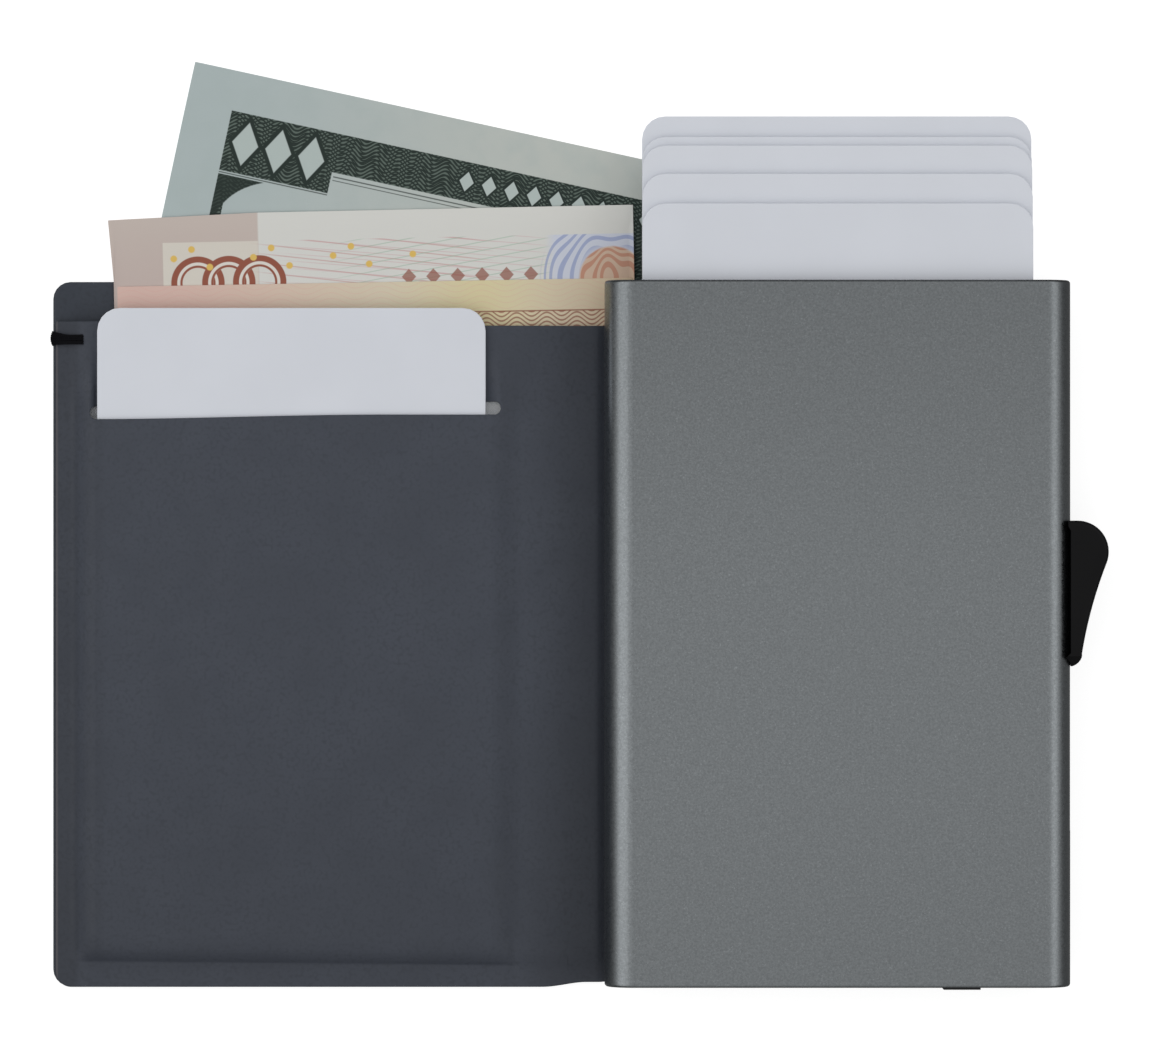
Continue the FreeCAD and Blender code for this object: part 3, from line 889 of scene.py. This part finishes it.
class Note:
    """A folded note: a turned rectangle, given by its node's box and its angle, in the note compartment."""

    def __init__(self, node, name, level, turn_deg, curl, curl_over, lean=0.0, dip=0.0):
        self.node, self.name = node, name
        self.turn = math.radians(turn_deg)
        low, high = box(node)
        wide, tall = high.x - low.x, high.y - low.y
        c, s = math.cos(self.turn), abs(math.sin(self.turn))
        self.width = (wide * c - tall * s) / (c * c - s * s)
        self.height = (tall * c - wide * s) / (c * c - s * s)
        corner_x = low.x + (self.height * s if turn_deg < 0 else 0)
        corner_y = high.y - (0 if turn_deg < 0 else self.width * s)
        self.corner = Vector((corner_x, corner_y, 0))
        self.z = COVER_TOP + (level + 1) * (NOTE_T + NOTE_GAP)
        self.curl, self.curl_over = curl, curl_over
        self.lean, self.dip = lean, dip

    def corners(self):
        """The outline. A worn note's upper left corner dips, and its left edge leans inwards below it."""
        across = Vector((math.cos(self.turn), math.sin(self.turn), 0))
        down = Vector((across.y, -across.x, 0))
        a = self.corner
        loop = [a + down * self.dip, a + across * self.width, a + across * self.width + down * self.height]
        loop.append(a + down * self.height + across * self.lean)
        if self.lean:
            loop.append(a + down * LEAN_OVER + across * self.lean)
        if self.dip:
            loop.insert(1, a + across * DIP_OVER)
        return loop

    def across_and_down(self, look):
        """Fields of the distances from the upper left corner, along the note and down it."""
        u, v = look.local((self.corner.x, self.corner.y), math.degrees(self.turn))
        return u, -v

    def ends(self, x):
        """Lowest and highest y of the note at x."""
        loop = self.corners()
        found = []
        for a, b in zip(loop, loop[1:] + loop[:1]):
            if min(a.x, b.x) - 1e-6 <= x <= max(a.x, b.x) + 1e-6 and abs(a.x - b.x) > 1e-6:
                found.append(a.y + (b.y - a.y) * (x - a.x) / (b.x - a.x))
        return min(found), max(found)

    def height_at(self, x, y):
        """The free end lifts off the table, and the paper is never quite flat."""
        free = (y - LEAF_HIGH.y) / self.curl_over
        return self.z + self.curl * ease(free) + 0.05 * ease(free) * math.sin(0.16 * x + 0.21 * y)

    def make(self, look):
        """Two pieces that meet in the middle of the spine, one for each crease."""
        xs = sorted(p.x for p in self.corners())
        left, right = xs[0], xs[-1]
        for name, marks, bend in (
            ("_left", ((left, 2.5), (CREASE_LEFT - BEND_OUT, 0.5), (MIDDLE, 1)), blend_left),
            ("_right", ((MIDDLE, 0.5), (CREASE_RIGHT + BEND_OUT, 2.5), (right, 1)), blend_right),
        ):
            columns = set(stations(*marks)) | {x for x in xs if marks[0][0] < x < marks[-1][0]}
            bm = bmesh.new()
            add_grid(bm, sorted(columns), lambda x: even_rows(*self.ends(x), NOTE_ROWS, 0), self.height_at)
            close_sheet(bm, lambda x, y: self.height_at(x, y) - NOTE_T, 0.05, MIDDLE)
            made = piece(self.name + name, bm, look)
            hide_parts(self.node)
            bend(made)


PAPER = dict(roughness=0.75, Specular_IOR_Level=0.3)


def paper_relief(look):
    look.relief(look.noise(0.35, 4.0, 0.6), 0.02, 0.5)
    look.relief(look.noise(6.0, 2.0), 0.12, 0.35)


def lozenge_row(u, v, pitch, first, last, middle_v, half_u, half_v):
    """Lozenges in a row, with the first and last one's middles at first and last. One field is 0 at each middle
    and 1 on each outline, and the other is 1 along the row."""
    along = ((u - first + pitch / 2).math("WRAP", pitch, 0.0) - pitch / 2).abs() * (1 / half_u)
    row = u.above(first - pitch / 2) * u.below(last + pitch / 2)
    return along + (v - middle_v).abs() * (1 / half_v), row


def green_note_look(note):
    """Grey-green paper. A dark frame of crossed waves runs near its upper edge, with a deeper block of lozenges
    at the frame's left corner and an arched field below. Another dark block at the frame's right end, printed
    like the frame, is painted shade where the gap beside the cards lies in shadow."""
    look = Look("note_green_paper", (0.435, 0.505, 0.505), **PAPER)
    u, v = note.across_and_down(look)
    look.paint((0.52, 0.55, 0.515), (u * (1 / 70)).above(0.4, 0.4))
    look.paint((0.40, 0.47, 0.46), look.noise(3.0, 4.0).above(0.56, 0.2) * 0.3)
    dark, middle, pale = (0.018, 0.030, 0.025), (0.11, 0.145, 0.125), (0.46, 0.53, 0.51)
    left, top, block_right, block_low, arch_top = 6.4, 5.5, 21.8, 13.9, 14.4
    inside = u.above(left) * v.above(top)
    # The second block, from u 62.6 on, is painted shade for the shadowed gap beside the cards.
    block = inside * (u.below(block_right) * v.below(block_low)).most(u.above(62.6) * v.below(19.5))
    band = inside * v.below(10.9)
    side = inside * u.below(left + 1.5) * v.above(arch_top)
    arch_u, arch_v = u * (1 / 10.5) - 1.67, v * (1 / 8.0) - 2.69
    spandrel = (arch_u * arch_u + arch_v * arch_v).above(1.0, 0.02) * inside * u.below(17.5) * v.above(arch_top)
    printed = block.most(band).most(side).most(spandrel)
    wave_a = (v + (u * 1.9).sin() * 0.5).lines(0.52, 0.24)
    wave_b = (v - (u * 1.3).sin() * 0.7).lines(0.61, 0.27)
    look.paint(middle, printed)
    look.paint(dark, printed * wave_a.most(wave_b))
    look.paint(dark, spandrel * 0.8)
    # Three lozenges in the block, and a row of small ones along the band.
    for places in ((4.7, 9.2, 18.6, 9.7, 2.0, 3.3), (3.2, 40.4, 72.0, 8.2, 1.1, 1.5)):
        lozenge, row = lozenge_row(u, v, *places)
        look.paint(dark, lozenge.below(1.25, 0.05) * row)
        look.paint(pale, lozenge.below(0.92, 0.05) * row)
    rules = (v - 11.5).abs().below(0.09).most((v - 12.0).abs().below(0.06)) * u.above(block_right + 0.3)
    look.paint(dark, rules.most((v - 14.15).abs().below(0.08) * u.above(left) * u.below(block_right)) * 0.8)
    paper_relief(look)
    return look.done()


def pale_note_look(note):
    """Off-white paper with a warm stretch at its left, interlaced rings, dots, fans of thin coloured lines,
    a row of lozenges and a rosette."""
    look = Look("note_pale_paper", (0.69, 0.69, 0.655), **PAPER)
    u, v = note.across_and_down(look)
    warm = u.below(20.8, 0.15)
    look.paint((0.57, 0.495, 0.45), warm)
    look.paint((0.53, 0.43, 0.40), (v * (1 / 12)).above(0.4, 0.5) * warm * 0.6)
    printed = v.above(3.9) * u.above(7.5)
    look.paint((0.68, 0.64, 0.57), printed * warm)
    red = (v - u * 0.13).lines(1.3, 0.13) * u.above(22.0, 3.0) * u.below(52.0, 3.0)
    rose = (v - u * 0.10).lines(1.0, 0.10) * u.above(26.0, 4.0) * u.below(60.0, 3.0)
    green = (v + u * 0.17).lines(1.2, 0.12) * u.above(33.0, 5.0) * u.below(61.0, 1.5)
    look.paint((0.52, 0.20, 0.20), printed * red * 0.7)
    look.paint((0.60, 0.30, 0.34), printed * rose * 0.5)
    look.paint((0.22, 0.42, 0.28), printed * green * 0.55)
    brown, off_white = (0.30, 0.095, 0.060), (0.74, 0.70, 0.64)
    for middle_u in (12.3, 16.6, 20.9):
        ring_u, ring_v = u - middle_u, v - 9.6
        out = (ring_u * ring_u + ring_v * ring_v).math("SQRT", 0.0)
        look.paint(off_white, (out - 2.9).abs().below(0.75, 0.06))
        look.paint(brown, (out - 3.3).abs().below(0.42, 0.06).most((out - 2.3).abs().below(0.16, 0.06)))
    for k in range(10):
        dot_u = u - (9.0 + 3.7 * k - 1.2 * (k % 3))
        dot_v = v - (4.9 + 1.25 * ((k * 2 + 1) % 3))
        dot = (dot_u * dot_u + dot_v * dot_v).below(0.22, 0.08)
        look.paint((0.74, 0.50, 0.13), dot)
    lozenge, row = lozenge_row(u, v, 3.4, 41.7, 58.7, 9.3, 1.0, 1.1)
    look.paint(brown, lozenge.below(1.0, 0.08) * row * 0.8)
    far_u, far_v = (u - 70.0) * (1 / 9.0), (v - 10.0) * (1 / 8.5)
    rosette = far_u * far_u + far_v * far_v
    look.paint((0.62, 0.65, 0.74), printed * u.above(61.5, 1.0))
    petals = (rosette * 5.0 + (u * 1.1).sin() * 0.3).lines(1.0, 0.42)
    look.paint((0.27, 0.33, 0.56), printed * petals * rosette.above(0.3, 0.1) * rosette.below(1.2, 0.1) * 0.7)
    rings = (rosette * 12.0 + (u * 1.7).sin() * 0.4).lines(1.0, 0.5)
    centre = printed * rosette.below(0.26, 0.02)
    look.paint((0.66, 0.44, 0.27), centre * 0.8)
    look.paint((0.50, 0.17, 0.10), centre * rings * 0.6)
    paper_relief(look)
    return look.done()


def amber_note_look(note):
    """Paper that runs from rose to amber, with a border of brown waves."""
    look = Look("note_amber_paper", (0.68, 0.48, 0.42), **PAPER)
    u, v = note.across_and_down(look)
    along = u * (1 / 71)
    look.paint((0.68, 0.61, 0.46), along.above(0.34, 0.3))
    look.paint((0.71, 0.62, 0.31), along.above(0.62, 0.12) * along.below(0.8, 0.12) * 0.6)
    look.paint((0.64, 0.49, 0.33), along.above(0.9, 0.15) * 0.8)
    look.paint((0.70, 0.36, 0.32), (v + (u * 0.9).sin() * 0.5).lines(0.8, 0.12) * 0.22)
    wave = (v + (u * 1.5).sin() * 0.55).lines(0.62, 0.24)
    brown, border_top, right_part = (0.26, 0.085, 0.055), 4.3, u.above(46.0, 1.0)
    border = v.above(border_top) * v.below(6.6) * right_part
    look.paint(brown, wave * border * 0.75)
    look.paint(brown, (v - border_top).abs().below(0.1) * right_part * 0.8)
    paper_relief(look)
    return look.done()


# ---- materials of the CAD nodes that stay ----


def dress(node, look):
    """Gives a CAD node its material."""
    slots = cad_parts[node].data.materials
    slots.clear()
    slots.append(look)


def dress_case():
    dress("case_tube", aluminium("case_anodised", (0.268, 0.287, 0.298), 0.30))
    dress("lever", plastic("lever_black", (0.003, 0.003, 0.0035), 0.5, 0.14))
    inner = plastic("inner_black", (0.008, 0.008, 0.009), 0.55, 0.3)
    for node in ("bottom_cap", "left_rail", "right_rail", "slider_carriage"):
        dress(node, inner)
    dress("fan_rocker", plastic("rocker_grey", (0.32, 0.33, 0.34), 0.5))
    dress("rocker_pin", steel("pin_steel", (0.55, 0.55, 0.56)))
    dress("mouth_felt", felt("felt_black", (0.02, 0.02, 0.022)))
    dress("case_adhesive_pad", tape("pad_tape", (0.25, 0.25, 0.26)))


# ---- stage ----

# The picture's width, how large it shows a millimetre at the case's upper face, the lens, and the point that the
# camera stands over.
PICTURE_W = 1160
SCALE_AT_CASE = 7.26
LENS = 203.0
SENSOR = 36.0
AIM_X, AIM_Y = 0.375, -0.06
BOX_DISTANCE = 0.9  # in metres
FLOOR_HALF = 30000


def camera():
    """Straight down over the middle of the footprint."""
    data = bpy.data.cameras.new("camera")
    data.lens, data.sensor_width = LENS, SENSOR
    above_case = LENS / SENSOR * PICTURE_W / SCALE_AT_CASE
    made = bpy.data.objects.new("camera", data)
    made.location = (AIM_X * MM, AIM_Y * MM, MM * (CASE_HIGH.z + above_case))
    bpy.context.scene.collection.objects.link(made)
    bpy.context.scene.camera = made


def soft_light(name, from_vertical, toward, distance, size, radiance, aim):
    """A softbox that faces aim, which is in metres as its distance and size are. It stands that many degrees off
    the vertical, on the side that toward gives, and its size is its level side and its other side."""
    tilt, side = math.radians(from_vertical), math.radians(toward)
    way = Vector((math.sin(tilt) * math.cos(side), math.sin(tilt) * math.sin(side), math.cos(tilt)))
    data = bpy.data.lights.new(name, "AREA")
    data.shape = "RECTANGLE"
    data.size, data.size_y = size
    data.energy = radiance * math.pi * size[0] * size[1]
    made = bpy.data.objects.new(name, data)
    made.location = Vector(aim) + way * distance
    made.rotation_euler = way.to_track_quat("Z", "Y").to_euler()
    made.visible_camera = False
    bpy.context.scene.collection.objects.link(made)


def sky():
    """Soft light that is strong from above and weak from the horizon, behind a plain pale backdrop."""
    world = bpy.data.worlds.new("sky")
    bpy.context.scene.world = world
    world.use_nodes = True
    nodes, links = world.node_tree.nodes, world.node_tree.links
    light = nodes["Background"]
    height = nodes.new("ShaderNodeSeparateXYZ")
    links.new(nodes.new("ShaderNodeTexCoord").outputs["Generated"], height.inputs[0])
    level = nodes.new("ShaderNodeMapRange")
    level.interpolation_type = "SMOOTHSTEP"
    links.new(height.outputs["Z"], level.inputs["Value"])
    for socket, value in (("From Min", 0.0), ("From Max", 0.45), ("To Min", 0.17), ("To Max", 0.645)):
        level.inputs[socket].default_value = value
    # A little more of it comes from beyond the wallet's mouth.
    lean = nodes.new("ShaderNodeMath")
    lean.operation = "MULTIPLY_ADD"
    links.new(height.outputs["Y"], lean.inputs[0])
    lean.inputs[1].default_value = 0.25
    lean.inputs[2].default_value = 1.0
    strength = nodes.new("ShaderNodeMath")
    strength.operation = "MULTIPLY"
    links.new(level.outputs["Result"], strength.inputs[0])
    links.new(lean.outputs[0], strength.inputs[1])
    links.new(strength.outputs[0], light.inputs["Strength"])
    light.inputs["Color"].default_value = (1, 1, 1, 1)
    backdrop = nodes.new("ShaderNodeBackground")
    backdrop.inputs["Color"].default_value = (0.93, 0.93, 0.93, 1)
    seen = nodes.new("ShaderNodeMixShader")
    links.new(nodes.new("ShaderNodeLightPath").outputs["Is Camera Ray"], seen.inputs[0])
    links.new(light.outputs[0], seen.inputs[1])
    links.new(backdrop.outputs[0], seen.inputs[2])
    links.new(seen.outputs[0], nodes["World Output"].inputs["Surface"])


def stage():
    """White table, soft sky and long softboxes at both sides, which draw the bright lines on the case."""
    bpy.context.scene.view_settings.view_transform = "Standard"
    sky()
    middle = (MM * (CASE_LOW.x + CASE_HIGH.x) / 2, MM * (CASE_LOW.y + CASE_HIGH.y) / 2, 0)
    soft_light("left_box", 41, 180, BOX_DISTANCE, (1.6, 0.74), 0.60, middle)
    soft_light("right_box", 49, 0, BOX_DISTANCE, (2.0, 0.40), 0.56, middle)
    bm = bmesh.new()
    bmesh.ops.create_grid(bm, x_segments=1, y_segments=1, size=FLOOR_HALF)
    look = Look("floor_paint", (0.4, 0.4, 0.4), 0.9, Emission_Strength=0.8)
    look.shader.inputs["Emission Color"].default_value = (1, 1, 1, 1)
    look.mottle(40.0, 0.01)
    floor = piece("floor", bm, look.done())
    floor.visible_glossy = False


# ---- everything ----


def main():
    outer = leather("cover_leather", (0.033, 0.040, 0.054))
    inner = leather("panel_leather", (0.052, 0.060, 0.079), (PANEL_LEFT, LOWER))
    outer_cover(outer)
    leaf_panel(inner)
    back_panel(inner)
    pocket_backing(cloth("pocket_weave", (0.80, 0.82, 0.85)))
    bar_tack(thread("black_thread", (0.003, 0.003, 0.004)))
    card = card_plastic("card_blank", (0.712, 0.738, 0.796))
    for number in range(1, 6):
        blank_card(f"card_{number}", f"card_{number}_blank", f"card_{number}", card)
    blank_card("slot_card", "slot_card_blank", "slot_card", card)
    green = Note("banknote_green", "note_green", level=0, turn_deg=-12.3, curl=1.1, curl_over=26.0)
    green.make(green_note_look(green))
    pale = Note(
        "banknote_pale", "note_pale", level=1, turn_deg=1.2, curl=0.5, curl_over=12.0, lean=0.62, dip=0.64
    )
    pale.make(pale_note_look(pale))
    amber = Note("banknote_amber", "note_amber", level=2, turn_deg=1.0, curl=0.2, curl_over=6.0)
    amber.make(amber_note_look(amber))
    dress_case()
    camera()
    stage()


main()
